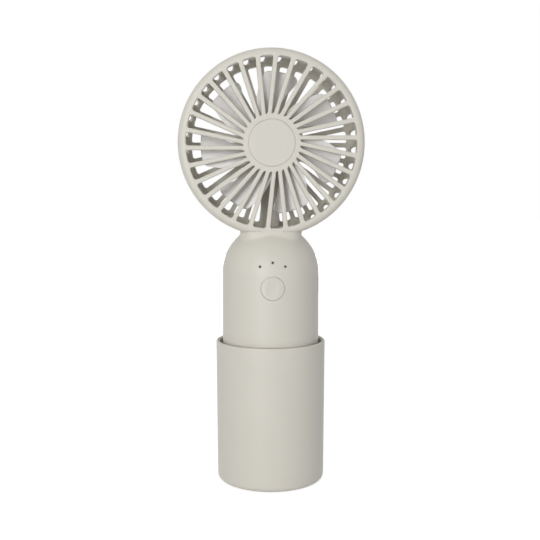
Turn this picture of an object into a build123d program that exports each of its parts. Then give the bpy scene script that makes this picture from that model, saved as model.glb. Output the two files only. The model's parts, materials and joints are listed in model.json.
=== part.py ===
from build123d import *
import math
import os

# A rechargeable hand fan that stands in a cup. Millimetres, +Z up, the fan blows towards -Y.
# The origin is the middle of the foot, on the table.

# Cup that the handle stands in
cup_height = 71.2
cup_gap = 1.5               # between the handle and the cup's rim
cup_taper = 0.5             # the rim's radius less the foot's
cup_wall = 1.8
cup_floor = 3.0
cup_edge = 2.6              # rounding under the cup
cup_lip = 0.8               # rounding of the rim
cup_rib_count = 6
cup_rib_width = 1.4
cup_rib_height = 52.0
rib_clearance = 0.3         # between the ribs and the handle
foot_inset = 5.3            # from the cup's foot to the rubber ring's edge
foot_thickness = 1.4
foot_stand_out = 0.4        # how far the foot stands below the cup
pad_inset = 5.0             # from the handle's side to the pad's edge
pad_thickness = 1.2

# Handle
body_radius = 24.0
dome_height = 105.1         # centre of the round shoulder above the table
shell_wall = 2.0
neck_width = 30.2
neck_depth = 29.0
neck_corner = 9.0
neck_height = 2.15          # of the neck's flat sides, above the round shoulder
neck_fillet = 2.6
neck_flare = 2.0            # hollow rounding where the neck meets the head
flare_steps = 8
neck_ledge = 3.0            # thickness of the neck's top around the stem
seam_gap = 0.12             # fine parting line between the shells
seam_lip_depth = 1.5
bottom_cap_thickness = 3.0
bottom_cap_edge = 1.2
spigot_height = 3.0
spigot_wall = 1.6
fit_gap = 0.1               # between parts that slot into each other
screw_gap = 0.03            # between a screw and its hole

# Head
head_radius = 45.0
head_depth = 29.0
head_flat = 2.3             # how much the round head is cut flat over the neck
ring_depth = 6.5            # front ring, from its face to the seam
ring_wall = 2.4
ring_edge = 3.2             # rounding of the head's front edge
rear_edge = 7.0             # rounding of its back edge
saddle_thickness = 1.7      # flat inside the head, over the neck
lap_length = 2.0
lap_wall = 1.2

# Front grille
front_plate = 3.0
spoke_count = 30
spoke_offset = 2.45         # a spoke's centre line misses the head's centre by this much
spoke_width_inner = 2.0
spoke_width_outer = 2.25
hub_disc_radius = 13.9
front_rim = 4.0             # from the head's edge to the front slots
slot_corner_outer = 1.1
slot_corner_inner = 0.35
spoke_rounding = 0.45
badge_radius = 11.15
badge_thickness = 1.2

# Rear grille
rear_plate = 2.5
bar_count = 30
bar_width = 2.3
rear_slot_inner = 17.5
rear_rim = 5.7              # from the head's edge to the rear slots
vent_width = 3.2
vent_length = 15.4
vent_depth = 1.8            # how far the vents reach in from the drum's inner wall
vent_pitch = 11.0           # degrees
vents_each_side = 14
vent_middle = -5.7          # middle of the vents, towards the front from the head's middle

# Motor and its cup
motor_radius = 12.2
motor_length = 12.3
motor_back_space = 2.5      # room for the terminals behind the motor
can_wall = 0.8
motor_cup_wall = 1.5
mount_thickness = 1.4
mount_skirt = 3.0
mount_skirt_wall = 0.8
shaft_radius = 1.0
shaft_clearance = 0.05
bushing_radius = 3.0
bushing_length = 2.6
magnet_thickness = 1.6
rotor_radius = 9.2
rotor_length = 6.0
rotor_space = 1.4           # between the rotor's front end and the can
magnet_space = 1.6          # between the magnets' front ends and the can
magnet_gap = 4.0            # between the two magnets
arm_width = 2.4
shoe_thickness = 1.4
core_radius = 3.6
coil_width = 3.0            # along the rotor's arm
coil_thickness = 1.25
coil_end = 0.8              # how far a coil stands out over the rotor's ends
commutator_radius = 2.6
commutator_length = 2.4
terminal_offset = 5.0
terminal_drop = 4.5         # the terminals' lower ends below the motor's axis

# Impeller
blade_count = 7
blade_first = 27.8          # degrees, middle of the first blade's tip
blade_clearance = 8.3       # between the blades' tips and the drum
blade_thickness = 1.2
blade_root_angle = 19.0     # degrees, half of a blade's span at the hub
blade_tip_angle = 16.0
blade_sweep = 21.0          # degrees, from the hub to the tip
blade_lead_corner = 5.0
blade_trail_corner = 1.5
blade_pitch_root = 31.0
blade_pitch_tip = 23.5
impeller_hub_radius = 13.2
impeller_hub_wall = 1.2
impeller_hub_depth = 6.0
impeller_boss_radius = 3.2
impeller_gap = 0.6          # behind the front grille

# Wire channel in the head
channel_width = 9.0
channel_wall = 1.2
channel_height = 6.5
channel_cover = 1.0
stem_width = 22.0
stem_depth = 24.0
stem_corner = 4.0
stem_wall = 2.0
stem_length = 10.0
lug_width = 1.8
lug_height = 2.4
lug_depth = 10.0

# Battery and its holder
battery_radius = 9.2        # a cell 18 mm across and 65 mm long
battery_gap = 0.3
holder_wall = 1.5
bulkhead = 2.0
tab_width = 7.0
tab_thickness = 0.3
tab_reach = 9.4             # from the battery's axis to the tab's soldered end
tab_space = 1.0

# Board, switch, lamps and charging port
board_width = 35.0
board_length = 31.0
board_thickness = 1.6
board_corner = 3.0
board_drop = 21.1           # the board's lower edge, below the centre of the round shoulder
board_gap = 2.0             # between the battery holder and the board
port_drop = 5.4             # the port's middle, below the centre of the round shoulder
port_forward = 5.0          # the port's middle, towards the front from the handle's axis
port_length = 9.4
port_width = 3.7
usb_length = 8.94
usb_thickness = 3.2
usb_depth = 7.35
usb_wall = 0.3
usb_sink = 0.7              # how far the socket lies inside the shell's surface
tongue_length = 6.7
tongue_thickness = 0.7
tongue_depth = 5.4
button_drop = 5.6           # the button's middle, below the centre of the round shoulder
button_radius = 5.6
button_gap = 0.15
button_rim = 0.5            # round the hollow in the button
button_dish = 0.35
button_post = 1.6
flange_extra = 1.3
flange_thickness = 1.0
switch_size = 6.0
switch_height = 3.5
switch_stem = 1.5
plunger_radius = 1.7
lamp_rise = 4.8             # the outer lamps, above the centre of the round shoulder
lamp_step = 1.9             # the middle lamp stands this much higher
lamp_side_offset = 6.05
lamp_hole_radius = 0.66
lamp_pin_gap = 0.05
lamp_pin_sink = 0.25
guide_radius = 1.4
guide_bar = 0.8             # half the height of the bar that joins the light guide's pins
led_size = 1.6
led_thickness = 0.6

# Fasteners and leads
screw_radius = 1.1
screw_head_radius = 2.0
screw_head_height = 1.4
cap_screw_circle = 15.0
cap_screw_count = 3
cap_screw_length = 7.0
shell_screw_x = 16.0
shell_screw_heights = (20.0, 66.0)
post_radius = 3.0
shell_screw_depth = 7.0     # of the hole in the front shell
shell_screw_seat = 5.0      # how far behind the axis the screws' heads sit
board_screw_x = 13.0
board_screw_rise = 3.5      # above the board's lower edge
board_screw_bite = 6.0      # length of the board screws in their posts
screw_end_gap = 0.5         # between a screw's end and the bottom of its hole
board_post_radius = 2.6
motor_screw_circle = 8.0
lead_radius = 0.6
lead_bend = 6.0
lead_pair_gap = 2.8         # between the two motor leads in the channel
lead_pair_start = 14.0      # between them on the board

# Worked out from the sizes above
cup_base = foot_stand_out
cup_top_radius = body_radius + cup_gap + cup_wall
cup_foot_radius = cup_top_radius - cup_taper
foot_radius = cup_foot_radius - foot_inset
pad_radius = body_radius - pad_inset
cup_inside = cup_base + cup_floor
pad_top = cup_inside + pad_thickness
shell_base = pad_top + bottom_cap_thickness
head_cut = head_radius - head_flat
neck_top = dome_height + math.sqrt(body_radius ** 2 - (neck_width / 2) ** 2) + neck_height
head_height = neck_top + head_cut
ledge_base = neck_top - neck_ledge
body_inner = body_radius - shell_wall
face = head_depth / 2
seam = face - ring_depth
drum_inner = head_radius - ring_wall
front_slot_radius = head_radius - front_rim
rear_slot_outer = head_radius - rear_rim
blade_tip_radius = drum_inner - blade_clearance
plate_front = -face + rear_plate
motor_back = plate_front + motor_back_space
motor_front = motor_back + motor_length
cup_bore = motor_radius + fit_gap
motor_cup_radius = cup_bore + motor_cup_wall
mount_front = motor_front + mount_thickness
impeller_front = face - front_plate - impeller_gap
impeller_back = impeller_front - impeller_hub_depth
channel_top = plate_front + channel_height
holder_base = shell_base + spigot_height + 0.2
battery_base = holder_base + bulkhead + tab_space
board_base = dome_height - board_drop
holder_top = board_base - board_gap - bulkhead
battery_top = holder_top - tab_space
board_back = port_forward + usb_thickness / 2
board_front = board_back + board_thickness
board_screw_height = board_base + board_screw_rise
port_height = dome_height - port_drop
button_height = dome_height - button_drop
lamp_side_height = dome_height + lamp_rise
lamp_middle_height = lamp_side_height + lamp_step
shell_wide = 4 * body_radius
switch_top = board_front + switch_height
flange_front = math.sqrt(body_inner ** 2 - (button_radius + flange_extra + 1) ** 2) - 0.15
flange_back = flange_front - flange_thickness

facing = Rot(90, 0, 0)      # local +Z points to the front, local Y is height
on_head = Pos(0, 0, head_height) * facing


def rod(radius, low, high, x=0, y=0):
    return Pos(x, y, low) * extrude(Circle(radius), high - low)


def tube(outer, inner, low, high):
    return Pos(0, 0, low) * extrude(Circle(outer) - Circle(inner), high - low)


def block(x_size, y_size, low, high, x=0, y=0):
    return Pos(x, y, low) * extrude(Rectangle(x_size, y_size), high - low)


def rounded_block(x_size, y_size, corner, low, high):
    return Pos(0, 0, low) * extrude(RectangleRounded(x_size, y_size, corner), high - low)


def around(shape, count, first=0.0):
    return [Rot(0, 0, first + k * 360 / count) * shape for k in range(count)]


def above_neck(low, high):
    """Everything above the flat cut under the head, in the head's own frame."""
    reach = 2 * head_radius
    return block(2 * reach, reach, low, high, y=reach / 2 - head_cut)


def envelope(inset):
    """The handle's outer form, drawn in by the inset."""
    radius = body_radius - inset
    column = rod(radius, shell_base, dome_height)
    dome = Pos(0, 0, dome_height) * Sphere(radius)
    width = neck_width - 2 * inset
    depth = neck_depth - 2 * inset
    neck = rounded_block(width, depth, neck_corner - inset, dome_height, neck_top)
    return column + (dome & block(4 * radius, 4 * radius, dome_height, neck_top)) + neck


# ---- cup ----

def cup_radius_at(height):
    share = (height - cup_base) / (cup_height - cup_base)
    return cup_foot_radius + share * (cup_top_radius - cup_foot_radius)


def make_stand_cup():
    outer = [(0, cup_base), (cup_foot_radius, cup_base), (cup_top_radius, cup_height), (0, cup_height)]
    body = revolve(Plane.XZ * make_face(Polyline(*outer, close=True)), Axis.Z)
    body = fillet(body.edges().sort_by(Axis.Z)[0], cup_edge)
    low_inner = cup_radius_at(cup_inside) - cup_wall
    top_inner = cup_top_radius - cup_wall
    inner = [(0, cup_inside), (low_inner, cup_inside), (top_inner, cup_height), (0, cup_height)]
    body -= revolve(Plane.XZ * make_face(Polyline(*inner, close=True)), Axis.Z)
    rim = body.edges().filter_by(GeomType.CIRCLE).group_by(Axis.Z)[-1]
    body = fillet(rim, cup_lip)
    body -= rod(foot_radius + fit_gap, cup_base - 1, foot_thickness)
    rib_tip = body_radius + rib_clearance
    rib_root = cup_radius_at(cup_height) - cup_wall / 2
    rib = block(rib_root - rib_tip, cup_rib_width, cup_inside - 0.5, cup_inside + cup_rib_height,
                x=(rib_root + rib_tip) / 2)
    inside_wall = rod(cup_foot_radius - cup_wall / 2, cup_base, cup_height)
    return body + [piece & inside_wall for piece in around(rib, cup_rib_count, 30)]


def make_stand_foot():
    return rod(foot_radius, 0, foot_thickness)


def make_handle_pad():
    return rod(pad_radius, cup_inside, pad_top)


# ---- handle shells ----

def port_opening(extra):
    """Upright slot through the right side of the handle."""
    outline = SlotOverall(port_length + 2 * extra, port_width + 2 * extra, rotation=90)
    return extrude(Plane.YZ * Pos(-port_forward, port_height) * outline, 2 * body_radius)


def lamp_places():
    side = lamp_side_offset
    return [(-side, lamp_side_height), (0, lamp_middle_height), (side, lamp_side_height)]


def make_neck_flare():
    """Hollow rounding from the neck's sides out to the round underside of the head."""
    arc_x = neck_width / 2 + neck_flare
    arc_drop = math.sqrt((head_radius + neck_flare) ** 2 - arc_x ** 2)
    start = head_height - arc_drop
    rise = arc_drop * neck_flare / (head_radius + neck_flare)
    sections = []
    for k in range(flare_steps + 1):
        height = rise * k / flare_steps
        spread = neck_flare - math.sqrt(neck_flare ** 2 - height ** 2)
        sections.append(Pos(0, 0, start + height) * RectangleRounded(
            neck_width + 2 * spread, neck_depth, neck_corner))
    return loft(sections, ruled=True) - on_head * rod(head_radius, -head_depth, head_depth)


def shell_halves():
    outer = envelope(0)
    low = dome_height + math.sqrt(body_radius ** 2 - (neck_width / 2) ** 2) - 4
    corner = [edge for edge in outer.edges()
              if low < edge.bounding_box().min.Z and edge.bounding_box().max.Z < neck_top - 1]
    outer = fillet(corner, neck_fillet)
    inner = envelope(shell_wall) & block(shell_wide, shell_wide, 0, ledge_base)
    hollow = outer + make_neck_flare() - inner
    hollow -= rounded_block(stem_width + 2 * fit_gap, stem_depth + 2 * fit_gap, stem_corner,
                            ledge_base - 1, neck_top)
    deep = 2 * body_radius
    front_half = block(2 * deep, deep, 0, head_height, y=-deep / 2 - seam_gap / 2)
    rear_half = block(2 * deep, deep, 0, head_height, y=deep / 2 + seam_gap / 2)
    return hollow & front_half, hollow & rear_half


def seam_lip(outer_inset, reach):
    """Thin inner lip of the front shell that reaches over the parting line."""
    band = envelope(outer_inset) - envelope(shell_wall)
    zone = block(4 * body_radius, reach + 2, shell_base + spigot_height, dome_height, y=reach / 2 - 1)
    return band & zone


def screw_post(x, height, low, high, radius):
    return facing * rod(radius, low, high, x=x, y=height)


def shell_posts(front):
    reach = 2 * body_radius
    posts = []
    for height in shell_screw_heights:
        for x in (-shell_screw_x, shell_screw_x):
            low, high = (0, reach) if front else (-reach, 0)
            posts.append(screw_post(x, height, low, high, post_radius))
    return posts


def make_front_shell(half):
    within = envelope(shell_wall / 2)
    ring = facing * rod(button_radius + flange_extra + 1, flange_front + 0.1, body_radius, y=button_height)
    posts = shell_posts(True)
    for x in (-board_screw_x, board_screw_x):
        posts.append(screw_post(x, board_screw_height, board_front, body_radius, board_post_radius))
    shell = half + seam_lip(shell_wall / 2 + fit_gap / 2, seam_lip_depth)
    shell += [piece & within for piece in posts + [ring]]
    shell -= facing * rod(button_radius + button_gap, 0, body_radius + 1, y=button_height)
    for x, height in lamp_places():
        shell -= facing * rod(lamp_hole_radius, body_inner / 2, body_radius + 1, x=x, y=height)
    shell -= port_opening(0) & block(shell_wide, shell_wide, 0, head_height, x=(shell_wide + board_width) / 2)
    hole = screw_radius + screw_gap
    for height in shell_screw_heights:
        for x in (-shell_screw_x, shell_screw_x):
            shell -= screw_post(x, height, -1, shell_screw_depth, hole)
    for x in (-board_screw_x, board_screw_x):
        end = board_front + board_screw_bite + screw_end_gap
        shell -= screw_post(x, board_screw_height, board_front - 1, end, hole)
    return shell


def make_rear_shell(half):
    within = envelope(shell_wall / 2)
    shell = half + [post & within for post in shell_posts(False)]
    shell -= seam_lip(shell_wall / 2 - fit_gap / 2, seam_lip_depth + fit_gap)
    for height in shell_screw_heights:
        for x in (-shell_screw_x, shell_screw_x):
            shell -= screw_post(x, height, -body_radius, 1, screw_radius + screw_gap)
            shell -= screw_post(x, height, -2 * body_radius, -shell_screw_seat, screw_head_radius + fit_gap)
    return shell


def screw(shank):
    """A pan head on the origin plane with its shank below."""
    head = rod(screw_head_radius, 0, screw_head_height)
    head = fillet(head.edges().sort_by(Axis.Z)[-1], screw_head_height / 3)
    long, slim = 1.2 * screw_head_radius, 0.3 * screw_head_radius
    for x_size, y_size in ((slim, long), (long, slim)):
        head -= block(x_size, y_size, screw_head_height / 2, screw_head_height)
    return head + rod(screw_radius, -shank, 0)


def make_shell_screws():
    one = Rot(-90, 0, 0) * screw(shell_screw_seat + shell_screw_depth - screw_end_gap)
    places = [(x, h) for h in shell_screw_heights for x in (-shell_screw_x, shell_screw_x)]
    return Compound([Pos(x, shell_screw_seat, h) * one for x, h in places])


def make_bottom_cap():
    cap = rod(body_radius, pad_top, shell_base)
    cap = fillet(cap.edges().sort_by(Axis.Z)[0], bottom_cap_edge)
    outer = body_inner - fit_gap
    cap += tube(outer, outer - spigot_wall, shell_base, shell_base + spigot_height)
    hole = rod(screw_radius + screw_gap, pad_top, shell_base, x=cap_screw_circle)
    hole += rod(screw_head_radius + fit_gap, pad_top, pad_top + screw_head_height + fit_gap,
                x=cap_screw_circle)
    return cap - around(hole, cap_screw_count, 90)


def make_cap_screws():
    place = Pos(cap_screw_circle, 0, pad_top + screw_head_height + fit_gap) * Rot(180, 0, 0)
    return Compound(around(place * screw(cap_screw_length), cap_screw_count, 90))


# ---- battery ----

def make_battery_holder():
    plate_radius = body_inner - spigot_wall - 3 * fit_gap
    low = rod(plate_radius, holder_base, holder_base + bulkhead)
    top_radius = body_inner - 2 * fit_gap
    top = rod(top_radius, holder_top, holder_top + bulkhead)
    inner = battery_radius + battery_gap
    trough = tube(inner + holder_wall, inner, holder_base, holder_top + 0.5)
    trough &= block(shell_wide, 2 * inner, holder_base, holder_top + 0.5, y=inner - 2)
    boss = rod(board_post_radius, shell_base, holder_base + 0.5, x=cap_screw_circle)
    holder = low + top + trough + around(boss, cap_screw_count, 90)
    holder -= block(6, 4, holder_top - 1, holder_top + bulkhead + 1, y=-tab_reach - 2 * lead_radius)
    hole = rod(screw_radius + screw_gap, shell_base - 1, holder_base + bulkhead, x=cap_screw_circle)
    return holder - around(hole, cap_screw_count, 90)


def make_battery_cell():
    cell = rod(battery_radius, battery_base, battery_top)
    cell = fillet(cell.edges().filter_by(GeomType.CIRCLE), 0.6)
    return cell - tube(6.2, 5.4, battery_top - 0.4, battery_top)


def make_battery_tabs():
    tab = block(tab_width, tab_reach + 5, 0, tab_thickness, y=(5 - tab_reach) / 2)
    return Compound([Pos(0, 0, battery_base - tab_thickness) * tab, Pos(0, 0, battery_top) * tab])


# ---- board and what it carries ----

def make_main_board():
    outline = Pos(0, board_base + board_length / 2) * RectangleRounded(
        board_width, board_length, board_corner)
    board = facing * Pos(0, 0, board_back) * extrude(outline, board_thickness)
    for x in (-board_screw_x, board_screw_x):
        board -= screw_post(x, board_screw_height, 0, body_radius, screw_radius + screw_gap)
    return board


def make_board_screws():
    one = Rot(-90, 0, 0) * screw(board_thickness + board_screw_bite)
    return Compound([Pos(x, -board_back, board_screw_height) * one for x in (-board_screw_x, board_screw_x)])


def make_charge_chip():
    return facing * block(5, 4.4, board_back - 1.3, board_back, x=-4, y=port_height - 4)


def make_charge_coil():
    return facing * block(6, 6, board_back - 3, board_back, x=-4, y=port_height + 5)


def make_switch_body():
    base = block(switch_size, switch_size, board_front, switch_top, y=button_height)
    return facing * (base - rod(plunger_radius + 0.1, switch_top - 2.2, switch_top, y=button_height))


def make_switch_plunger():
    return facing * rod(plunger_radius, switch_top - 1.4, switch_top + switch_stem, y=button_height)


def make_power_button():
    cap = facing * rod(button_radius, flange_back, body_radius + 1, y=button_height)
    cap &= rod(body_radius, button_height - body_radius, button_height + body_radius)
    dish_radius = ((button_radius - button_rim) ** 2 + button_dish ** 2) / (2 * button_dish)
    dish = facing * Pos(0, button_height, body_radius + dish_radius - button_dish) * Sphere(dish_radius)
    cap = cap - dish
    cap += facing * rod(button_radius + flange_extra, flange_back, flange_front, y=button_height)
    return cap + facing * rod(button_post, switch_top + switch_stem, flange_back + 0.5, y=button_height)


def make_usb_shell():
    mouth = math.sqrt(body_radius ** 2 - port_forward ** 2) - usb_sink
    place = Plane.YZ * Pos(-port_forward, port_height, mouth - usb_depth)
    outer = extrude(place * SlotOverall(usb_length, usb_thickness, rotation=90), usb_depth)
    inside = SlotOverall(usb_length - 2 * usb_wall, usb_thickness - 2 * usb_wall, rotation=90)
    cavity = extrude(place * Pos(0, 0, 1) * inside, usb_depth)
    return outer - cavity


def make_usb_tongue():
    mouth = math.sqrt(body_radius ** 2 - port_forward ** 2) - usb_sink
    place = Plane.YZ * Pos(-port_forward, port_height, mouth - usb_depth + 1)
    return extrude(place * Rectangle(tongue_thickness, tongue_length), tongue_depth)


def make_indicator_leds():
    leds = [facing * block(led_size, led_size / 2, board_front, board_front + led_thickness, x=x, y=h)
            for x, h in lamp_places()]
    return Compound(leds)


def make_light_guide():
    start = board_front + led_thickness + 0.3
    shoulder = body_inner * 0.82
    guide = facing * block(2 * lamp_side_offset, lamp_step + 2 * guide_bar, start + 2, start + 3.5,
                           y=lamp_side_height + lamp_step / 2)
    for x, height in lamp_places():
        surface = math.sqrt(body_radius ** 2 - x ** 2 - (height - dome_height) ** 2)
        guide += facing * rod(guide_radius, start, shoulder - 1, x=x, y=height)
        guide += facing * rod(lamp_hole_radius - lamp_pin_gap, shoulder - 1.2, surface - lamp_pin_sink,
                              x=x, y=height)
    return guide


# ---- head ----

def spoke_edge(angle, radius, offset, half_width, side):
    """Point at a given radius on one edge of a straight spoke that misses the centre by its offset."""
    across = offset + side * half_width
    along = math.sqrt(radius ** 2 - across ** 2)
    cos, sin = math.cos(math.radians(angle)), math.sin(math.radians(angle))
    return along * cos - across * sin, along * sin + across * cos


def grille_slot(count, radii, offset, widths, corners):
    """Outline of the gap between two neighbouring spokes, with its corners rounded."""
    pitch = 360 / count
    inner, outer = radii
    reach_in, reach_out = inner - 0.5, outer + 0.5
    points = [spoke_edge(0, reach_in, offset, widths[0] / 2, 1),
              spoke_edge(0, reach_out, offset, widths[1] / 2, 1),
              spoke_edge(pitch, reach_out, offset, widths[1] / 2, -1),
              spoke_edge(pitch, reach_in, offset, widths[0] / 2, -1)]
    wedge = make_face(Polyline(*points, close=True)) & (Circle(outer) - Circle(inner))
    middle = (inner + outer) / 2
    far = [corner for corner in wedge.vertices() if math.hypot(corner.X, corner.Y) > middle]
    wedge = fillet(far, corners[1])
    near = [corner for corner in wedge.vertices() if math.hypot(corner.X, corner.Y) < middle]
    return fillet(near, corners[0])


def head_opening(low, high, clearance=0.0, edge=0.0):
    """The room inside the head's ring, with a flat saddle left over the neck."""
    room = rod(drum_inner - clearance, low, high)
    if edge:
        room = fillet(room.edges().filter_by(GeomType.CIRCLE).sort_by(Axis.Z)[0], edge)
    above_saddle = block(4 * head_radius, 2 * head_radius, low, high,
                         y=head_radius - head_cut + saddle_thickness + clearance)
    return room & above_saddle


def head_form(low, high, rounded_end, edge):
    """Solid slice of the head with one rounded rim, cut flat over the neck."""
    form = rod(head_radius, low, high)
    rim = form.edges().filter_by(GeomType.CIRCLE).sort_by(Axis.Z)[rounded_end]
    return fillet(rim, edge) & above_neck(low, high)


def make_front_grille():
    base = seam + seam_gap
    body = head_form(base, face, -1, ring_edge) - head_opening(base, face - front_plate)
    slot = grille_slot(spoke_count, (hub_disc_radius, front_slot_radius), spoke_offset,
                       (spoke_width_inner, spoke_width_outer), (slot_corner_inner, slot_corner_outer))
    cutter = Pos(0, 0, face - front_plate - 1) * extrude(slot, front_plate + 2)
    body = body - around(cutter, spoke_count)
    edges = [edge for edge in body.edges() if abs(edge.bounding_box().min.Z - face) < 0.001
             and abs(edge.bounding_box().max.Z - face) < 0.001
             and math.hypot(edge.center().X, edge.center().Y) < front_slot_radius + 0.1]
    body = fillet(edges, spoke_rounding)
    body -= rod(badge_radius + fit_gap, face - badge_thickness, face)
    core = rod(drum_inner - lap_wall, seam - lap_length, base + 1)
    lap = head_opening(seam - lap_length, base + 1, fit_gap) - core
    root = head_opening(base, base + 1) - core
    return on_head * (body + lap + root)


def make_hub_badge():
    badge = rod(badge_radius, face - badge_thickness, face)
    return on_head * fillet(badge.edges().filter_by(GeomType.CIRCLE).sort_by(Axis.Z)[-1], 0.3)


def side_vents():
    outline = SlotOverall(vent_length, vent_width)
    vent = Plane.YZ * Rot(0, 0, 90) * outline
    cutter = Pos(drum_inner - vent_depth, 0, vent_middle) * extrude(vent, 2 * (ring_wall + vent_depth))
    first = 90 - vent_pitch / 2
    left = [Rot(0, 0, first - k * vent_pitch) * cutter for k in range(vents_each_side)]
    right = [Rot(0, 0, first + (k + 1) * vent_pitch) * cutter for k in range(vents_each_side)]
    return left + right


def wire_channel():
    low = -head_cut
    top = -motor_cup_radius + 0.5
    middle = (low + top) / 2
    side = channel_width / 2 - channel_wall / 2
    walls = [block(channel_wall, top - low, plate_front - 0.5, channel_top, x=x, y=middle)
             for x in (-side, side)]
    back = block(channel_width, top - low, -face, plate_front, y=middle)
    return walls + [back & head_form(-face, seam, 0, rear_edge)]


def make_rear_housing():
    drum = head_form(-face, seam, 0, rear_edge)
    drum -= head_opening(plate_front, seam, edge=rear_edge - ring_wall)
    slot = grille_slot(bar_count, (rear_slot_inner, rear_slot_outer), 0, (bar_width, bar_width), (0.5, 1.1))
    cutter = Pos(0, 0, -face - 1) * extrude(slot, rear_plate + 2)
    drum = drum - around(cutter, bar_count)
    drum = drum - side_vents()
    drum += tube(motor_cup_radius, cup_bore, plate_front - 0.5, motor_front)
    drum += wire_channel()
    drum -= tube(motor_cup_radius + 1, motor_cup_radius - mount_skirt_wall,
                 motor_front - mount_skirt, motor_front + 1)
    inside_channel = channel_width - 2 * channel_wall
    drum -= block(inside_channel, 5, plate_front, motor_back + 1, y=-motor_cup_radius + 1)
    drum -= block(inside_channel, 6, plate_front + 0.5, channel_top - 0.5, y=-head_cut)
    return on_head * drum + make_stem()


def make_stem():
    stem = rounded_block(stem_width, stem_depth, stem_corner, neck_top - stem_length, neck_top)
    for side in (-1, 1):
        stem += block(lug_width, lug_depth, ledge_base - lug_height - fit_gap, ledge_base - fit_gap,
                      x=side * (stem_width / 2 + lug_width / 2))
    inner = rounded_block(stem_width - 2 * stem_wall, stem_depth - 2 * stem_wall, stem_corner - stem_wall,
                          neck_top - stem_length, neck_top - 0.01)
    return stem - inner


def make_channel_cover():
    low = -head_cut + saddle_thickness
    high = -motor_cup_radius - fit_gap
    cover = block(channel_width, high - low, channel_top, channel_top + channel_cover, y=(low + high) / 2)
    return on_head * cover


# ---- motor ----

def make_motor_can():
    can = rod(motor_radius, motor_back + 1, motor_front)
    can = fillet(can.edges().filter_by(GeomType.CIRCLE).sort_by(Axis.Z)[-1], 0.6)
    can -= rod(motor_radius - can_wall, motor_back, motor_front - can_wall)
    can += rod(bushing_radius + 0.6, motor_front - can_wall, motor_front + 1.2)
    can -= rod(bushing_radius, motor_front - bushing_length, motor_front + 1.3)
    hole = rod(screw_radius + screw_gap, 0, motor_front + 1, x=motor_screw_circle)
    return on_head * (can - around(hole, 2))


def make_motor_end_cap():
    cap = rod(motor_radius, motor_back, motor_back + 1)
    spigot = motor_radius - can_wall - fit_gap
    cap += tube(spigot, spigot - 1.3, motor_back + 1, motor_back + 2.4)
    cap += rod(bushing_radius + 1, motor_back - 1.2, motor_back + 1)
    return on_head * (cap - rod(bushing_radius, motor_back - 1.2, motor_back + 1))


def rotor_low():
    return motor_front - can_wall - rotor_length - rotor_space


def make_motor_magnets():
    outer = motor_radius - can_wall
    ring = tube(outer, outer - magnet_thickness, rotor_low(), motor_front - can_wall - magnet_space)
    wide = 4 * motor_radius
    halves = [ring & block(wide, wide, rotor_low(), motor_front, y=side * (wide + magnet_gap) / 2)
              for side in (-1, 1)]
    return on_head * Compound(halves)


def bushing(low):
    return on_head * tube(bushing_radius, shaft_radius + shaft_clearance, low, low + bushing_length - 0.4)


def make_motor_front_bushing():
    return bushing(motor_front - bushing_length + 1.6)


def make_motor_rear_bushing():
    return bushing(motor_back - 1.2)


def make_motor_brushes():
    low = motor_back + 1.0
    arm = block(1.2, 8, low, low + 1.6, x=commutator_radius + 0.9)
    return on_head * Compound([arm, Rot(0, 0, 180) * arm])


def make_motor_terminals():
    tab = block(1.8, 3.0, plate_front + 0.4, motor_back, x=terminal_offset, y=1.5 - terminal_drop)
    return on_head * Compound([tab, Pos(-2 * terminal_offset, 0, 0) * tab])


def make_motor_mount():
    plate = rod(motor_cup_radius, motor_front, mount_front)
    plate += tube(motor_cup_radius, motor_cup_radius - mount_skirt_wall + 0.05,
                  motor_front - mount_skirt + 0.1, motor_front)
    plate -= rod(bushing_radius + 0.6 + fit_gap, motor_front, mount_front)
    hole = rod(screw_radius + screw_gap, motor_front, mount_front, x=motor_screw_circle)
    return on_head * (plate - around(hole, 2))


def make_motor_screws():
    one = Pos(motor_screw_circle, 0, mount_front) * screw(mount_thickness + can_wall)
    return on_head * Compound(around(one, 2))


def make_motor_shaft():
    shaft = rod(shaft_radius, motor_back - 0.6, impeller_front - 0.6)
    return on_head * shaft


def make_rotor_core():
    low = rotor_low()
    core = rod(core_radius, low, low + rotor_length)
    arm_length = rotor_radius - shoe_thickness / 2 - shaft_radius
    arm = block(arm_length, arm_width, low, low + rotor_length, x=shaft_radius + arm_length / 2)
    shoe = tube(rotor_radius, rotor_radius - shoe_thickness, low, low + rotor_length)
    gap = block(rotor_radius, arm_width, low - 1, low + rotor_length + 1, x=rotor_radius)
    shoe -= around(gap, 3, 60)
    core += around(arm, 3)
    core += shoe
    return on_head * (core - rod(shaft_radius, low, low + rotor_length))


def make_rotor_windings():
    low, high = rotor_low(), rotor_low() + rotor_length
    middle = (core_radius + rotor_radius - shoe_thickness) / 2
    slot_width = arm_width + fit_gap
    coil = block(coil_width, slot_width + 2 * coil_thickness, low - coil_end, high + coil_end, x=middle)
    coil -= block(coil_width + 1, slot_width, low - fit_gap / 2, high + fit_gap / 2, x=middle)
    return on_head * Compound(around(coil, 3))


def make_commutator():
    return on_head * tube(commutator_radius, shaft_radius, rotor_low() - commutator_length, rotor_low())


# ---- impeller ----

def blade_side(side):
    """One side of a blade, seen along the axis: its angle drifts with the radius, so the blade is swept."""
    start, end = impeller_hub_radius - impeller_hub_wall / 2, blade_tip_radius + 2
    points = []
    for k in range(5):
        radius = start + (end - start) * k / 4
        share = (blade_tip_radius - radius) / (blade_tip_radius - impeller_hub_radius)
        half = blade_tip_angle + share * (blade_root_angle - blade_tip_angle)
        turn = math.radians(blade_sweep * share + side * half)
        points.append((radius * math.cos(turn), radius * math.sin(turn)))
    return points


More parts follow.
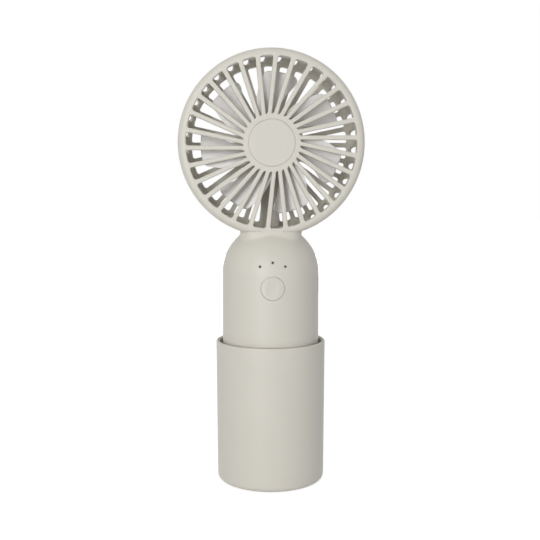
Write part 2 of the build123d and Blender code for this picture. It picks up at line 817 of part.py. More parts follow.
def blade_outline():
    trail, lead = blade_side(1), blade_side(-1)
    edges = [Spline(*lead), Line(lead[-1], trail[-1]), Spline(*reversed(trail)), Line(trail[0], lead[0])]
    outline = make_face(edges) & Circle(blade_tip_radius)
    tip = [v for v in outline.vertices() if math.hypot(v.X, v.Y) > blade_tip_radius - 1]
    lead_tip = min(tip, key=lambda v: v.Y)
    trail_tip = max(tip, key=lambda v: v.Y)
    outline = fillet(lead_tip, blade_lead_corner)
    trail_tip = min(outline.vertices(), key=lambda v: abs(v.X - trail_tip.X) + abs(v.Y - trail_tip.Y))
    return fillet(trail_tip, blade_trail_corner)


def blade_sheet():
    """Twisted sheet that a blade is cut from: its pitch falls from the hub to the tip."""
    def section(radius, pitch, middle):
        slope = math.tan(math.radians(pitch))
        plane = Plane(origin=(radius, 0, middle), x_dir=(0, 1, slope), z_dir=(1, 0, 0))
        return plane * Rectangle(60, blade_thickness)
    middle_root = impeller_back + 0.6
    middle_tip = impeller_front - blade_tip_radius * math.sin(math.radians(blade_tip_angle)) * math.tan(
        math.radians(blade_pitch_tip)) - 0.4
    return loft([section(impeller_hub_radius - 4, blade_pitch_root, middle_root),
                 section(blade_tip_radius + 1, blade_pitch_tip, middle_tip)], ruled=True)


def make_impeller():
    hub = rod(impeller_hub_radius, impeller_back, impeller_front)
    hub = fillet(hub.edges().filter_by(GeomType.CIRCLE).sort_by(Axis.Z)[-1], 1.0)
    hub -= rod(impeller_hub_radius - impeller_hub_wall, impeller_back, impeller_front - impeller_hub_wall)
    hub += rod(impeller_boss_radius, impeller_back + 0.4, impeller_front - 0.5)
    blade = extrude(blade_outline(), 40, both=True) & blade_sheet()
    blade_low = impeller_back - impeller_hub_depth
    blade &= tube(blade_tip_radius + 1, impeller_hub_radius - impeller_hub_wall / 2,
                  blade_low, impeller_front)
    body = hub + around(blade, blade_count, blade_first)
    return on_head * (body - rod(shaft_radius, impeller_back - 1, impeller_front - 0.6))


# ---- leads ----

def bend_radii(points):
    """Each corner's radius: as large as the two runs beside it allow, up to lead_bend."""
    radii = []
    for a, b, c in zip(points, points[1:], points[2:]):
        before, after = Vector(b) - Vector(a), Vector(c) - Vector(b)
        half_turn = math.radians(before.get_angle(after)) / 2
        radii.append(min(lead_bend, 0.45 * min(before.length, after.length) / math.tan(half_turn)))
    return radii


def lead(points):
    path = FilletPolyline(*points, radius=bend_radii(points))
    return sweep(Plane(origin=path @ 0, z_dir=path % 0) * Circle(lead_radius), path=path)


def make_battery_lead(x, tab_height):
    forward = -tab_reach - 2 * lead_radius - 0.2
    joint = board_base + 2.5
    return lead([(x, -tab_reach, tab_height), (x, forward, tab_height),
                 (x, forward, joint), (x, -board_front, joint)])


def make_motor_lead(side):
    inner, outer = side * lead_pair_gap / 2, side * lead_pair_start / 2
    start = board_base + board_length - 3
    in_channel = -(plate_front + channel_top) / 2
    behind_motor = -(plate_front + motor_back) / 2
    cup_mouth = head_height - motor_cup_radius
    end = side * terminal_offset
    return lead([(outer, -board_back, start), (outer, -board_back + 3.4, start),
                 (inner, in_channel, neck_top - 5), (inner, in_channel, cup_mouth - 8),
                 (inner, behind_motor, cup_mouth - 1),
                 (inner, behind_motor, cup_mouth + 2.5), (end, behind_motor, cup_mouth + 7.5),
                 (end, behind_motor, head_height - terminal_drop)])


front_half, rear_half = shell_halves()

parts = {
    "stand_cup": make_stand_cup(),
    "stand_foot": make_stand_foot(),
    "handle_pad": make_handle_pad(),
    "front_shell": make_front_shell(front_half),
    "rear_shell": make_rear_shell(rear_half),
    "shell_screws": make_shell_screws(),
    "bottom_cap": make_bottom_cap(),
    "cap_screws": make_cap_screws(),
    "battery_holder": make_battery_holder(),
    "battery_cell": make_battery_cell(),
    "battery_tabs": make_battery_tabs(),
    "battery_lead_red": make_battery_lead(1.5, battery_top + tab_thickness / 2),
    "battery_lead_black": make_battery_lead(-1.5, battery_base - tab_thickness / 2),
    "main_board": make_main_board(),
    "board_screws": make_board_screws(),
    "charge_chip": make_charge_chip(),
    "charge_coil": make_charge_coil(),
    "switch_body": make_switch_body(),
    "switch_plunger": make_switch_plunger(),
    "power_button": make_power_button(),
    "usb_shell": make_usb_shell(),
    "usb_tongue": make_usb_tongue(),
    "indicator_leds": make_indicator_leds(),
    "light_guide": make_light_guide(),
    "front_grille": make_front_grille(),
    "hub_badge": make_hub_badge(),
    "rear_housing": make_rear_housing(),
    "channel_cover": make_channel_cover(),
    "motor_can": make_motor_can(),
    "motor_end_cap": make_motor_end_cap(),
    "motor_magnets": make_motor_magnets(),
    "motor_front_bushing": make_motor_front_bushing(),
    "motor_rear_bushing": make_motor_rear_bushing(),
    "motor_brushes": make_motor_brushes(),
    "motor_terminals": make_motor_terminals(),
    "motor_mount": make_motor_mount(),
    "motor_screws": make_motor_screws(),
    "motor_lead_red": make_motor_lead(1),
    "motor_lead_black": make_motor_lead(-1),
    "motor_shaft": make_motor_shaft(),
    "rotor_core": make_rotor_core(),
    "rotor_windings": make_rotor_windings(),
    "commutator": make_commutator(),
    "impeller": make_impeller(),
}

os.makedirs("parts", exist_ok=True)
for name, shape in parts.items():
    export_step(shape, f"parts/{name}.step")
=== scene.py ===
import json
import math

import bmesh
import bpy
import numpy as np
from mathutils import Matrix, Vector


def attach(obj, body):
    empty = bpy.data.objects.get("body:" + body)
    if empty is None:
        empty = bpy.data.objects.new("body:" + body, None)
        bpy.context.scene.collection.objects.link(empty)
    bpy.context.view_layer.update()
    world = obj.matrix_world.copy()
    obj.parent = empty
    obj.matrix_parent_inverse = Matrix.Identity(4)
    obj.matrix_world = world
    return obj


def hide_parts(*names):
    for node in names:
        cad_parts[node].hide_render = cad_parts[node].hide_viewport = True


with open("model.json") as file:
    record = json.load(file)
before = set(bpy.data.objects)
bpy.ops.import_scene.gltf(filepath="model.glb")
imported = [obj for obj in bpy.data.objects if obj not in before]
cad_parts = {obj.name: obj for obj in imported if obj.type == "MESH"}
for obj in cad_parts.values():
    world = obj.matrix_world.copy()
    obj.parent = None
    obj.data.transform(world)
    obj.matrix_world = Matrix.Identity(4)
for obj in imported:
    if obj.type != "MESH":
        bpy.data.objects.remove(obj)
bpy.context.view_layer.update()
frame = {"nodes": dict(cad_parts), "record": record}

mm = 0.001
headHeight = 168.6              # centre of the head above the table
nodes = frame["nodes"]
print("frame loaded:", len(nodes), "nodes")


cameraView = {
    "distance": 440 * mm,       # from the upright axis
    "height": 150 * mm,
    "yaw": 2.5,                 # degrees, towards the fan's own right side
    "aimHeight": 106.1 * mm,
    "aimSide": 0.3 * mm,
    "lens": 58.9,
}


def placeCamera(view):
    # stands at (-distance * sin(yaw), -distance * cos(yaw), height) and looks at the aim
    camera = bpy.data.objects.new("camera", bpy.data.cameras.new("camera"))
    bpy.context.scene.collection.objects.link(camera)
    turn = math.radians(view["yaw"])
    away = view["distance"]
    camera.location = (-away * math.sin(turn), -away * math.cos(turn), view["height"])
    aim = Vector((-view["aimSide"], 0, view["aimHeight"])) - camera.location
    camera.rotation_euler = aim.to_track_quat("-Z", "Y").to_euler()
    camera.data.lens = view["lens"]
    camera.data.clip_start = 0.01
    bpy.context.scene.camera = camera


placeCamera(cameraView)
print("camera placed")


studio = {
    "worldLight": 0.38,
    "floorColour": (0.62, 0.62, 0.62, 1),
    "floorGlow": 0.75,          # what the camera sees on top of the light on the floor
    "floorSize": 6.0,
    "floorRoughness": 0.8,
    "floorSpecular": 0.1,
    "lamps": {
        # name: place, aim, width, height, watts, whether shiny surfaces mirror it
        "keyLamp": ((-0.50, -1.25, 0.34), (0, 0, 0.11), 0.35, 0.90, 10.8, True),
        "sideLamp": ((-1.20, 0.10, 0.35), (0, 0, 0.11), 0.50, 0.90, 0.3, True),
        "fillLamp": ((0.80, -1.00, 0.10), (0, 0, 0.11), 0.50, 0.90, 2.2, True),
        "backLamp": ((0.0, 1.35, 0.22), (0, 0, 0.11), 0.40, 0.70, 6.0, False),
        "topLamp": ((0.10, 0.10, 1.20), (0, 0, 0.10), 0.90, 0.90, 0.05, True),
    },
}


def seenDirectly(tree):
    # 1 for a ray from the camera or by way of a reflection or a clear surface,
    # 0 for light on its way to a surface
    path = tree.nodes.new("ShaderNodeLightPath")
    total = path.outputs["Is Camera Ray"]
    for kind in ("Is Glossy Ray", "Is Transmission Ray"):
        larger = tree.nodes.new("ShaderNodeMath")
        larger.operation = "MAXIMUM"
        tree.links.new(total, larger.inputs[0])
        tree.links.new(path.outputs[kind], larger.inputs[1])
        total = larger.outputs[0]
    return total


def makeWorld(light):
    world = bpy.data.worlds.new("studioWorld")
    bpy.context.scene.world = world
    world.use_nodes = True
    tree = world.node_tree
    tree.nodes.clear()
    out = tree.nodes.new("ShaderNodeOutputWorld")
    around = tree.nodes.new("ShaderNodeBackground")
    around.inputs["Strength"].default_value = light
    seen = tree.nodes.new("ShaderNodeBackground")
    seen.inputs["Strength"].default_value = 1.0
    mix = tree.nodes.new("ShaderNodeMixShader")
    tree.links.new(seenDirectly(tree), mix.inputs[0])
    tree.links.new(around.outputs[0], mix.inputs[1])
    tree.links.new(seen.outputs[0], mix.inputs[2])
    tree.links.new(mix.outputs[0], out.inputs[0])
    for shade in (around, seen):
        shade.inputs["Color"].default_value = (1, 1, 1, 1)


def makeLamp(name, place, aim, width, height, watts, mirrored):
    lamp = bpy.data.lights.new(name, "AREA")
    lamp.shape = "RECTANGLE"
    lamp.size, lamp.size_y = width, height
    lamp.energy = watts
    holder = bpy.data.objects.new(name, lamp)
    bpy.context.scene.collection.objects.link(holder)
    holder.location = place
    holder.visible_glossy = mirrored
    holder.rotation_euler = (Vector(aim) - Vector(place)).to_track_quat("-Z", "Y").to_euler()


def makeFloor(s):
    half = s["floorSize"] / 2
    mesh = bpy.data.meshes.new("studioFloor")
    corners = [(-half, -half, 0), (half, -half, 0), (half, half, 0), (-half, half, 0)]
    mesh.from_pydata(corners, [], [(0, 1, 2, 3)])
    floor = bpy.data.objects.new("studioFloor", mesh)
    bpy.context.scene.collection.objects.link(floor)
    paint = bpy.data.materials.new("floorPaint")
    paint.use_nodes = True
    tree = paint.node_tree
    shader = tree.nodes["Principled BSDF"]
    shader.inputs["Base Color"].default_value = s["floorColour"]
    shader.inputs["Roughness"].default_value = s["floorRoughness"]
    shader.inputs["Specular IOR Level"].default_value = s["floorSpecular"]
    shader.inputs["Emission Color"].default_value = (1, 1, 1, 1)
    lift = tree.nodes.new("ShaderNodeMath")
    lift.operation = "MULTIPLY"
    lift.inputs[1].default_value = s["floorGlow"]
    tree.links.new(seenDirectly(tree), lift.inputs[0])
    tree.links.new(lift.outputs[0], shader.inputs["Emission Strength"])
    mesh.materials.append(paint)


makeWorld(studio["worldLight"])
makeFloor(studio)
for lampName, lampFacts in studio["lamps"].items():
    makeLamp(lampName, *lampFacts)
bpy.context.scene.view_settings.view_transform = "Standard"
print("studio lit")


finishes = {
    # slot: colour, roughness, metal, grain size in mm, grain depth in mm
    "shell_plastic": ((0.660, 0.636, 0.568), 0.46, 0, 0.30, 0.006),
    "grille_plastic": ((0.660, 0.636, 0.568), 0.46, 0, 0.30, 0.006),
    "badge_plastic": ((0.665, 0.642, 0.575), 0.42, 0, 0.25, 0.002),
    "button_plastic": ((0.655, 0.632, 0.562), 0.42, 0, 0.25, 0.003),
    # impeller_plastic is paler than the shell: partly the blades' own cooler plastic, partly painted light
    # standing in for the light that comes through the thin blades
    "impeller_plastic": ((0.820, 0.808, 0.800), 0.48, 0, 0.30, 0.004),
    "inner_plastic": ((0.44, 0.41, 0.36), 0.50, 0, 0.30, 0.004),
    "foot_rubber": ((0.10, 0.095, 0.09), 0.85, 0, 0.40, 0.010),
    "pad_rubber": ((0.26, 0.25, 0.23), 0.80, 0, 0.40, 0.010),
    "steel": ((0.58, 0.58, 0.59), 0.30, 1, 0.20, 0.002),
    "screw_steel": ((0.50, 0.50, 0.52), 0.35, 1, 0.20, 0.002),
    "magnet": ((0.03, 0.03, 0.035), 0.60, 0, 0.20, 0.004),
    "bronze": ((0.50, 0.32, 0.14), 0.40, 1, 0.20, 0.003),
    "copper": ((0.60, 0.25, 0.12), 0.35, 1, 0.30, 0.004),
    "contact_metal": ((0.66, 0.64, 0.60), 0.25, 1, 0.20, 0.001),
    "battery_wrap": ((0.04, 0.15, 0.27), 0.30, 0, 0.60, 0.003),
    "board": ((0.02, 0.09, 0.04), 0.35, 0, 0.50, 0.003),
    "chip": ((0.012, 0.012, 0.013), 0.50, 0, 0.20, 0.003),
    "lens": ((0.075, 0.072, 0.068), 0.30, 0, 0.30, 0.001),
    "lamp": ((0.75, 0.75, 0.66), 0.30, 0, 0.30, 0.001),
    "lead_red": ((0.35, 0.02, 0.015), 0.50, 0, 0.30, 0.002),
    "lead_black": ((0.01, 0.01, 0.01), 0.50, 0, 0.30, 0.002),
}


surface = {
    "driftScale": 45,           # slow change of colour and gloss, in waves per metre
    "driftDetail": 4,
    "tint": 0.03,               # share by which the colour drifts to either side
    "gloss": 0.04,
    "grainDetail": 3,
}


def makeFinish(name, colour, roughness, metal, grain, depth):
    # moulded or metal surface: a fine grain in the bump, and a slow drift of colour and gloss over the part
    finish = bpy.data.materials.new(name)
    finish.use_nodes = True
    tree = finish.node_tree
    link = tree.links.new
    shader = tree.nodes["Principled BSDF"]
    shader.inputs["Metallic"].default_value = metal
    place = tree.nodes.new("ShaderNodeTexCoord")

    drift = tree.nodes.new("ShaderNodeTexNoise")
    drift.inputs["Scale"].default_value = surface["driftScale"]
    drift.inputs["Detail"].default_value = surface["driftDetail"]
    link(place.outputs["Object"], drift.inputs["Vector"])
    tint = tree.nodes.new("ShaderNodeMix")
    tint.data_type = "RGBA"
    tint.inputs[6].default_value = [c * (1 - surface["tint"]) for c in colour] + [1]
    tint.inputs[7].default_value = [min(1, c * (1 + surface["tint"])) for c in colour] + [1]
    link(drift.outputs["Fac"], tint.inputs[0])
    link(tint.outputs[2], shader.inputs["Base Color"])

    gloss = tree.nodes.new("ShaderNodeMapRange")
    gloss.inputs["To Min"].default_value = roughness - surface["gloss"]
    gloss.inputs["To Max"].default_value = roughness + surface["gloss"]
    link(drift.outputs["Fac"], gloss.inputs["Value"])
    link(gloss.outputs["Result"], shader.inputs["Roughness"])

    grit = tree.nodes.new("ShaderNodeTexNoise")
    grit.inputs["Scale"].default_value = 1 / (grain * mm)
    grit.inputs["Detail"].default_value = surface["grainDetail"]
    link(place.outputs["Object"], grit.inputs["Vector"])
    bump = tree.nodes.new("ShaderNodeBump")
    bump.inputs["Strength"].default_value = 1.0
    bump.inputs["Distance"].default_value = depth * mm
    link(grit.outputs["Fac"], bump.inputs["Height"])
    link(bump.outputs["Normal"], shader.inputs["Normal"])
    return finish


finishOf = {slot: makeFinish(slot + "Finish", *facts) for slot, facts in finishes.items()}
slotOf = {part["node"]: part["material_slot"] for part in frame["record"]["subparts"]}
for nodeName, node in nodes.items():
    for holder in node.material_slots:
        holder.material = finishOf[slotOf[nodeName]]
print("finishes on")

# Shapes shared by the pieces. Lengths are in millimetres until a mesh is made.

def gridFaces(rows, cols, rowsClosed=False, colsClosed=False):
    # quads between neighbouring points of a grid, joined round where a direction is closed
    row, col = np.meshgrid(np.arange(rows if rowsClosed else rows - 1),
                           np.arange(cols if colsClosed else cols - 1), indexing="ij")
    nextRow, nextCol = (row + 1) % rows, (col + 1) % cols
    return np.stack([row * cols + col, row * cols + nextCol, nextRow * cols + nextCol,
                     nextRow * cols + col], axis=-1).reshape(-1, 4)


def rounded(corners, radii, steps=6, hold=0.12):
    # a closed outline: each corner becomes the arc that touches both of its sides, its centre at
    # corner + inward * radius / sin(half the corner's angle), and points on it share out the sweep
    # evenly; a point just beyond each end of the arc keeps flat sides flat
    corners, radii = np.array(corners, float), np.array(radii, float)[:, None]
    before, after = np.roll(corners, 1, axis=0) - corners, np.roll(corners, -1, axis=0) - corners
    before /= np.linalg.norm(before, axis=1, keepdims=True)
    after /= np.linalg.norm(after, axis=1, keepdims=True)
    half = np.arccos(np.clip((before * after).sum(axis=1), -1, 1))[:, None] / 2
    reach = radii / np.tan(half)
    start, end = corners + before * reach, corners + after * reach
    inward = (before + after) / np.linalg.norm(before + after, axis=1, keepdims=True)
    centre = corners + inward * radii / np.sin(half)
    share = np.linspace(0, 1, steps)[None, :, None]
    sweep = (np.pi - 2 * half)[:, None]
    arc = (np.sin((1 - share) * sweep) * (start - centre)[:, None]
           + np.sin(share * sweep) * (end - centre)[:, None])
    arc = centre[:, None] + arc / np.sin(sweep)
    points = np.concatenate([(start + before * hold)[:, None], arc, (end + after * hold)[:, None]], axis=1)
    return points.reshape(-1, 2)


def turned(outline, count=180, closed=True):
    # x = radius * cos(turn), y = radius * sin(turn), z = height, for each (radius, height) of the outline
    turn = np.linspace(0, 2 * np.pi, count, endpoint=False)
    radius, height = outline[:, :1], outline[:, 1:]
    points = np.stack(np.broadcast_arrays(radius * np.cos(turn), radius * np.sin(turn), height), axis=-1)
    return points, gridFaces(len(outline), count, closed, True)


def solidTurned(corners, radii, count, **rounding):
    # a rounded outline that starts and ends on the axis, where it closes in two poles
    return turned(rounded(corners, radii, **rounding)[1:-1], count, False)


def swept(sections):
    # sections of the same number of points, one after another; each end closes on its section's middle
    ends = [sections[:1].mean(axis=1, keepdims=True), sections[-1:].mean(axis=1, keepdims=True)]
    ends = [np.repeat(end, sections.shape[1], axis=1) for end in ends]
    points = np.concatenate([ends[0], sections, ends[1]])
    return points, gridFaces(points.shape[0], points.shape[1], False, True)


def barStations(start, end, corners, sink):
    # places along a bar, close together where its ends widen, and a little way into what it joins
    step = 1 - np.cos(np.linspace(0, np.pi / 2, 7))
    return np.concatenate([[start - sink], start + corners[0] * step,
                           end - corners[1] * step[::-1], [end + sink]])


def barWidth(stations, start, end, halfWidth, corners):
    # half width plus corner - sqrt(corner^2 - d^2) near each end, d being how far a place is in the corner
    inStart = np.clip(start + corners[0] - stations, 0, corners[0])
    inEnd = np.clip(stations - end + corners[1], 0, corners[1])
    return (halfWidth + corners[0] - np.sqrt(corners[0] ** 2 - inStart ** 2)
            + corners[1] - np.sqrt(corners[1] ** 2 - inEnd ** 2))


def barSections(stations, halfWidth, low, high, rounding, steps=5):
    # (along, across, up) of a bar with two rounded upper edges:
    # across = side * (halfWidth - rounding + rounding * cos(bend)),
    # up = high - rounding + rounding * sin(bend)
    bend = np.linspace(0, np.pi / 2, steps)
    held = rounding * 1.25      # a point just beyond each end of the arc keeps flat sides flat
    inset = np.concatenate([[0, 0], rounding * (np.cos(bend) - 1), [-held]])
    up = np.concatenate([[low, high - held], high - rounding + rounding * np.sin(bend), [high]])
    side = np.repeat([1, -1], len(up))
    inset, up = np.concatenate([inset, -inset[::-1]]), np.concatenate([up, up[::-1]])
    across = halfWidth[:, None] * side + inset
    along, up = np.broadcast_arrays(stations[:, None], up)
    return np.stack([along, across, up], axis=-1)


def turnedCopies(shell, count, first=0.0):
    # copies of a shell round the z axis: (x, y) turned by first + k * 360 / count degrees
    points, faces = shell
    points = points.reshape(-1, 3)
    angle = np.radians(first + np.arange(count) * 360 / count)[:, None]
    x = points[:, 0] * np.cos(angle) - points[:, 1] * np.sin(angle)
    y = points[:, 0] * np.sin(angle) + points[:, 1] * np.cos(angle)
    copies = np.stack([x, y, np.broadcast_to(points[:, 2], x.shape)], axis=-1)
    step = np.arange(count)[:, None, None] * len(points)
    return copies.reshape(-1, 3), (faces[None] + step).reshape(-1, faces.shape[1])


def onHead(points):
    # (x, up from the head's centre, towards the front) becomes the fan's own x, y, z
    return np.stack([points[..., 0], -points[..., 2], points[..., 1] + headHeight], axis=-1)


def addPiece(name, shells, body, replaced, slot, sharp=40):
    # joins closed shells in one mesh, merges the points on seams and poles, and turns the faces outwards
    points = np.concatenate([shell[0].reshape(-1, 3) for shell in shells]) * mm
    starts = np.cumsum([0] + [shell[0].size // 3 for shell in shells[:-1]])
    faces = np.concatenate([shell[1] + start for shell, start in zip(shells, starts)])
    mesh = bpy.data.meshes.new(name)
    mesh.from_pydata(points.tolist(), [], faces.tolist())
    work = bmesh.new()
    work.from_mesh(mesh)
    bmesh.ops.remove_doubles(work, verts=work.verts, dist=1e-6)
    bmesh.ops.recalc_face_normals(work, faces=work.faces)
    work.to_mesh(mesh)
    work.free()
    mesh.shade_smooth()
    mesh.set_sharp_from_angle(angle=math.radians(sharp))
    piece = bpy.data.objects.new(name, mesh)
    bpy.context.scene.collection.objects.link(piece)
    mesh.materials.append(finishOf[slot])
    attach(piece, body)
    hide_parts(*replaced)
    print(name, len(mesh.polygons), "faces")


cup = {
    "base": 0.4,                # above the table, on its rubber foot
    "height": 71.2,
    "footRadius": 26.8,
    "rimRadius": 27.285,
    "wall": 1.8,
    "floor": 3.0,
    "footEdge": 2.6,
    "rimEdge": 0.88,
    "recessRadius": 21.6,       # for the foot
    "recessTop": 1.4,
    "recessEdges": (0.15, 0.3),
    "floorEdge": 1.2,
    "ribs": 6,
    "firstRib": 30,             # degrees
    "ribWidth": 1.4,
    "ribHeights": (2.9, 10, 20, 30, 40, 50, 54.4, 55.0, 55.4),
    "ribLean": (0, 0, 0, 0, 0, 0, 0, 0.15, 0.6),    # how far the ribs' tops lean back into the wall
    "ribReach": 24.3,           # from the axis to a rib's inner edge
    "ribDepth": 1.9,
    "ribRoot": 0.6,             # how far a rib stands in the wall
    "ribRounding": 0.35,
    "around": 240,              # points round the wall
}


def makeCup(c):
    # The wall's outline is turned round the axis: its radius grows in a straight line from the foot
    # to the rim. A rib runs upwards, and its points reach inwards from the wall by their own height:
    # radius = wall - up * (wall - ribReach - lean) / ribDepth.
    inside = c["base"] + c["floor"]
    inFoot, inRim = c["footRadius"] - c["wall"], c["rimRadius"] - c["wall"]
    wallShell = solidTurned(
        [(0, c["recessTop"]), (c["recessRadius"], c["recessTop"]), (c["recessRadius"], c["base"]),
         (c["footRadius"], c["base"]), (c["rimRadius"], c["height"]), (inRim, c["height"]),
         (inFoot, inside), (0, inside)],
        [0, *c["recessEdges"], c["footEdge"], c["rimEdge"], c["rimEdge"], c["floorEdge"], 0],
        c["around"], steps=9)
    stations = np.array(c["ribHeights"])
    halfWidth = np.full(len(stations), c["ribWidth"] / 2)
    sections = barSections(stations, halfWidth, 0, c["ribDepth"], c["ribRounding"])
    along, across, up = np.moveaxis(sections, -1, 0)
    wall = inRim + c["ribRoot"]
    lean = np.array(c["ribLean"])[:, None]
    radius = wall - up * (wall - c["ribReach"] - lean) / c["ribDepth"]
    ribs = turnedCopies(swept(np.stack([radius, across, along], axis=-1)), c["ribs"], c["firstRib"])
    addPiece("cup", [wallShell, ribs], "stand", ["stand_cup"], "shell_plastic")


frontGrille = {
    "face": 14.5,               # from the head's middle to the grille's face
    "plate": 3.0,
    "seam": 8.12,
    "outer": 44.99,
    "edge": 3.2,
    "drum": 42.6,
    "lap": 41.4,                # inner radius of the lip that enters the rear half
    "lapOuter": 42.5,
    "lapEnd": 6.0,
    "slotOuter": 41.0,
    "hub": 13.9,
    "recess": 11.25,            # for the round cap
    "recessDepth": 1.2,
    "spokes": 30,
    "offset": 2.45,             # a spoke's centre line misses the head's centre by this much
    "widths": (2.0, 2.25),      # at the hub and at the rim
    "corners": (0.35, 1.1),
    "rounding": 0.45,
    "fineEdge": 0.1,
    "lapEdge": 0.2,
    "lapRise": 1.0,             # how far the lip's root lies in front of the seam
    "recessEdge": 0.08,
    "sink": 0.6,                # how far a spoke runs on into the ring and the hub
    "spokeDrop": 0.01,          # of the spokes' faces behind the ring's
    "spokeSteps": 9,
    "ringPoints": 360,
    "hubPoints": 180,
}
headFlat = {
    "outer": 42.7,              # the head is cut flat this far below its centre
    "inner": 41.0,
    "split": 42.65,             # points nearer the axis than this belong to the inner wall
}


def flattened(points, f):
    # over the neck the head is flat: no outer point lies below the cut, no inner one below the saddle
    radius = np.hypot(points[..., 0], points[..., 1])
    lowest = -np.where(radius > f["split"], f["outer"], f["inner"])
    return np.stack([points[..., 0], np.maximum(points[..., 1], lowest), points[..., 2]], axis=-1)


def makeFrontGrille(g):
    # The rim and the middle disc are outlines turned round the head's axis. A spoke's centre line is
    # y = offset, so all spokes miss the centre on the same side, and its half width grows in a
    # straight line from the hub to the rim, plus the corners of barWidth.
    back = g["face"] - g["plate"]
    lapRoot = g["seam"] + g["lapRise"]
    rim = rounded(
        [(g["outer"], g["seam"]), (g["outer"], g["face"]), (g["slotOuter"], g["face"]),
         (g["slotOuter"], back), (g["drum"], back), (g["drum"], lapRoot), (g["lap"], lapRoot),
         (g["lap"], g["lapEnd"]), (g["lapOuter"], g["lapEnd"]), (g["lapOuter"], g["seam"])],
        [g["fineEdge"], g["edge"], g["rounding"], g["fineEdge"], 0, 0, 0, g["lapEdge"], g["lapEdge"], 0],
        steps=10)
    points, faces = turned(rim, g["ringPoints"])
    rim = onHead(flattened(points, headFlat)), faces
    floor = g["face"] - g["recessDepth"]
    points, faces = solidTurned(
        [(0, floor), (g["recess"], floor), (g["recess"], g["face"]), (g["hub"], g["face"]), (g["hub"], back),
         (0, back)], [0, 0, g["recessEdge"], g["rounding"], g["fineEdge"], 0], g["hubPoints"])
    disc = onHead(points), faces
    start, end = (math.sqrt(radius ** 2 - g["offset"] ** 2) for radius in (g["hub"], g["slotOuter"]))
    stations = barStations(start, end, g["corners"], g["sink"])
    stations = np.insert(stations, len(stations) // 2, np.linspace(start, end, g["spokeSteps"])[1:-1])
    taper = np.interp(stations, [start, end], g["widths"]) / 2
    width = barWidth(stations, start, end, taper, g["corners"])
    sections = barSections(stations, width, back, g["face"] - g["spokeDrop"], g["rounding"])
    points, faces = swept(sections + np.array([0, g["offset"], 0]))
    points, faces = turnedCopies((points, faces), g["spokes"])
    shells = [rim, disc, (onHead(points), faces)]
    addPiece("frontGrille", shells, "fan", ["front_grille"], "grille_plastic")


roundCap = {
    "radius": 11.2,
    "face": 14.5,
    "thickness": 1.2,
    "edge": 0.3,
    "around": 180,
}


def makeRoundCap(c):
    # a plain disc let into the grille's middle: its outline, turned round the head's axis
    back = c["face"] - c["thickness"]
    points, faces = solidTurned([(0, c["face"]), (c["radius"], c["face"]), (c["radius"], back), (0, back)],
                                [0, c["edge"], 0, 0], c["around"])
    addPiece("roundCap", [(onHead(points), faces)], "fan", ["hub_badge"], "badge_plastic")


impeller = {
    "blades": 7,
    "first": 27.8,              # degrees, middle of the first blade's tip
    "tipRadius": 34.3,
    "thickness": 1.2,
    "halfSpans": (19.0, 16.0),  # degrees, at the hub and at the tip
    "sweep": 21.0,              # degrees, from the hub to the tip
    "corners": (5.0, 1.5),      # of the leading and the trailing tip
    "pitches": (31.0, 23.5),
    "sheetRadii": (9.2, 35.3),  # where the pitches hold
    "hubRadius": 13.2,
    "hubWall": 1.2,
    "hubDepth": 6.0,
    "front": 10.9,
    "hubEdges": (0.1, 0.3, 1.0),    # fine, plain and front
    "bossRadius": 3.2,
    "bossBack": 0.4,            # how far the boss ends in front of the hub's open side
    "shaftRadius": 1.0,
    "shaftCover": 0.6,
    "rootRise": 0.6,            # of the blades' middle at the hub, in front of the hub's open side
    "tipDrop": 0.4,             # of the leading tips behind the hub's face
    "rows": 40,
    "columns": 49,
    "around": 180,
}


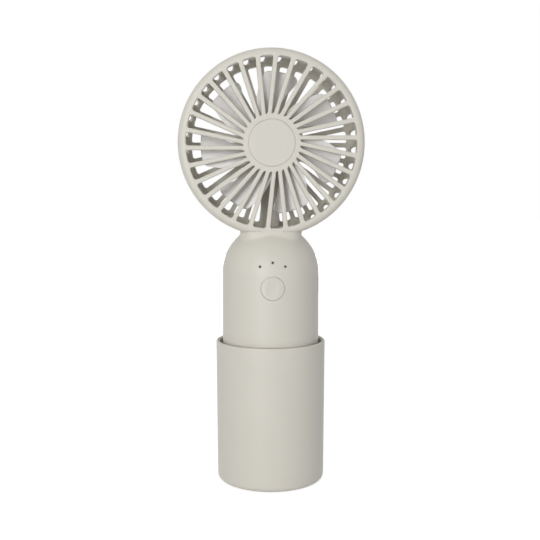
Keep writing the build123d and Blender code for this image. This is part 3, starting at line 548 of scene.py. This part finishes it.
def bladeShell(b):
    # radius runs from the hub to the tip, across from the leading edge (-1) to the trailing edge (+1):
    # angle = sweep * share + across * half span, share falling from 1 at the hub to 0 at the tip.
    # The depth is that of a twisted sheet: middle + slope * (distance along the turning direction).
    along = np.linspace(0, 1, b["rows"])[:, None]
    across = np.sin(np.linspace(-np.pi / 2, np.pi / 2, b["columns"]))[None, :]
    root, tip = b["hubRadius"] - b["hubWall"] / 2, b["tipRadius"]
    reach = np.radians(b["halfSpans"][1]) * tip
    leadIn = np.clip(b["corners"][0] - (1 + across) * reach, 0, b["corners"][0])
    trailIn = np.clip(b["corners"][1] - (1 - across) * reach, 0, b["corners"][1])
    tipHere = (tip - b["corners"][0] + np.sqrt(b["corners"][0] ** 2 - leadIn ** 2)
               - b["corners"][1] + np.sqrt(b["corners"][1] ** 2 - trailIn ** 2))
    radius = root + (tipHere - root) * along
    share = (tip - radius) / (tip - b["hubRadius"])
    half = b["halfSpans"][1] + share * (b["halfSpans"][0] - b["halfSpans"][1])
    angle = np.radians(b["sweep"] * share + across * half)
    x, y = radius * np.cos(angle), radius * np.sin(angle)
    inner, outer = b["sheetRadii"]
    place = (x - inner) / (outer - inner)
    rise = [math.sin(math.radians(pitch)) for pitch in b["pitches"]]
    run = [math.cos(math.radians(pitch)) for pitch in b["pitches"]]
    slope = (rise[0] + place * (rise[1] - rise[0])) / (run[0] + place * (run[1] - run[0]))
    innerMiddle = b["front"] - b["hubDepth"] + b["rootRise"]
    outerMiddle = b["front"] - b["tipDrop"] - tip * math.sin(math.radians(b["halfSpans"][1])) * math.tan(
        math.radians(b["pitches"][1]))
    middle = innerMiddle + place * (outerMiddle - innerMiddle) + slope * y
    edge = np.minimum((1 - np.abs(across)) * reach, (1 - along) * (tip - root))
    thin = np.sqrt(np.clip(1 - (1 - np.clip(edge / (b["thickness"] / 2), 0, 1)) ** 2, 0, 1))
    lift = b["thickness"] / 2 * thin * np.sqrt(1 + slope ** 2)
    front = np.stack([x, y, middle + lift], axis=-1)
    rear = np.stack([x, y, middle - lift], axis=-1)
    rows, cols = x.shape
    frontFaces = gridFaces(rows, cols)
    rearFaces = frontFaces[:, ::-1] + rows * cols
    foot = np.arange(cols - 1)
    footFaces = np.stack([foot, foot + rows * cols, foot + 1 + rows * cols, foot + 1], axis=-1)
    return np.concatenate([front.reshape(-1, 3), rear.reshape(-1, 3)]), np.concatenate(
        [frontFaces, rearFaces, footFaces])


def makeImpeller(b):
    # The hub's outline, hollow and with a boss for the shaft, is turned round the head's axis.
    # The blades are copies of one shell, turned by first + k * 360 / blades degrees.
    back = b["front"] - b["hubDepth"]
    inner = b["hubRadius"] - b["hubWall"]
    bossBack, plateBack = back + b["bossBack"], b["front"] - b["hubWall"]
    shaftEnd = b["front"] - b["shaftCover"]
    fine, plain, front = b["hubEdges"]
    points, faces = solidTurned(
        [(0, shaftEnd), (b["shaftRadius"], shaftEnd), (b["shaftRadius"], bossBack),
         (b["bossRadius"], bossBack), (b["bossRadius"], plateBack), (inner, plateBack), (inner, back),
         (b["hubRadius"], back), (b["hubRadius"], b["front"]), (0, b["front"])],
        [0, 0, 0, fine, plain, plain, fine, plain, front, 0], b["around"])
    blades, bladeFaces = turnedCopies(bladeShell(b), b["blades"], b["first"])
    shells = [(onHead(points), faces), (onHead(blades), bladeFaces)]
    addPiece("impellerWheel", shells, "rotor", ["impeller"], "impeller_plastic")


powerButton = {
    "height": 99.5,
    "radius": 5.65,
    "bodyRadius": 24.0,
    "rim": 0.5,                 # round the hollow
    "dish": 0.35,
    "blend": 0.05,              # softens the line where the hollow meets the rim
    "edge": 0.22,
    "innerEdges": (0.1, 0.2),
    "around": 144,
    "rings": 26,                # from the face's middle to near its rim
    "rimRings": 7,
    "flangeRadius": 6.9,
    "flangeFront": 20.38,
    "flangeBack": 19.38,
    "postRadius": 1.6,
    "postEnd": 13.2,
}


def makePowerButton(b):
    # Its face follows the handle, depth = sqrt(bodyRadius^2 - x^2), with a shallow hollow of a ball's
    # shape pressed into it; behind it are a flange and the post that reaches the switch.
    turn = np.linspace(0, 2 * np.pi, b["around"], endpoint=False)
    rimShare = 1 - b["edge"] / b["radius"] * (1 - np.sin(np.linspace(0, np.pi / 2, b["rimRings"])))
    share = np.concatenate([[0], np.linspace(0.06, 0.93, b["rings"]), rimShare])
    outward = share[:, None] * b["radius"]
    ballRadius = ((b["radius"] - b["rim"]) ** 2 + b["dish"] ** 2) / (2 * b["dish"])
    x, up = outward * np.cos(turn), outward * np.sin(turn)
    cover = np.sqrt(b["bodyRadius"] ** 2 - x ** 2)
    hollow = b["bodyRadius"] - b["dish"] + ballRadius - np.sqrt(ballRadius ** 2 - outward ** 2)
    depth = (cover + hollow - np.sqrt((cover - hollow) ** 2 + b["blend"] ** 2)) / 2
    inEdge = np.clip(outward - b["radius"] + b["edge"], 0, b["edge"])
    depth = depth - b["edge"] + np.sqrt(b["edge"] ** 2 - inEdge ** 2)
    face = np.stack([x, up, depth], axis=-1)
    edge, postEdge = b["innerEdges"]
    side, flange, post = b["radius"], b["flangeRadius"], b["postRadius"]
    front, back = b["flangeFront"], b["flangeBack"]
    body = rounded(
        [(side, front + 1), (side, front), (flange, front), (flange, back), (post, back),
         (post, b["postEnd"]), (0, b["postEnd"])], [0, 0, edge, edge, 0, postEdge, 0], hold=0.05)
    rest, _ = turned(body[8:-1], len(turn), False)  # the first corner only gives the side its direction
    points = np.concatenate([face, rest])
    faces = gridFaces(points.shape[0], points.shape[1], False, True)
    placed = np.stack([points[..., 0], -points[..., 2], points[..., 1] + b["height"]], axis=-1)
    addPiece("powerKey", [(placed, faces)], "button", ["power_button"], "button_plastic", sharp=50)


makeCup(cup)
makeFrontGrille(frontGrille)
makeRoundCap(roundCap)
makeImpeller(impeller)
makePowerButton(powerButton)
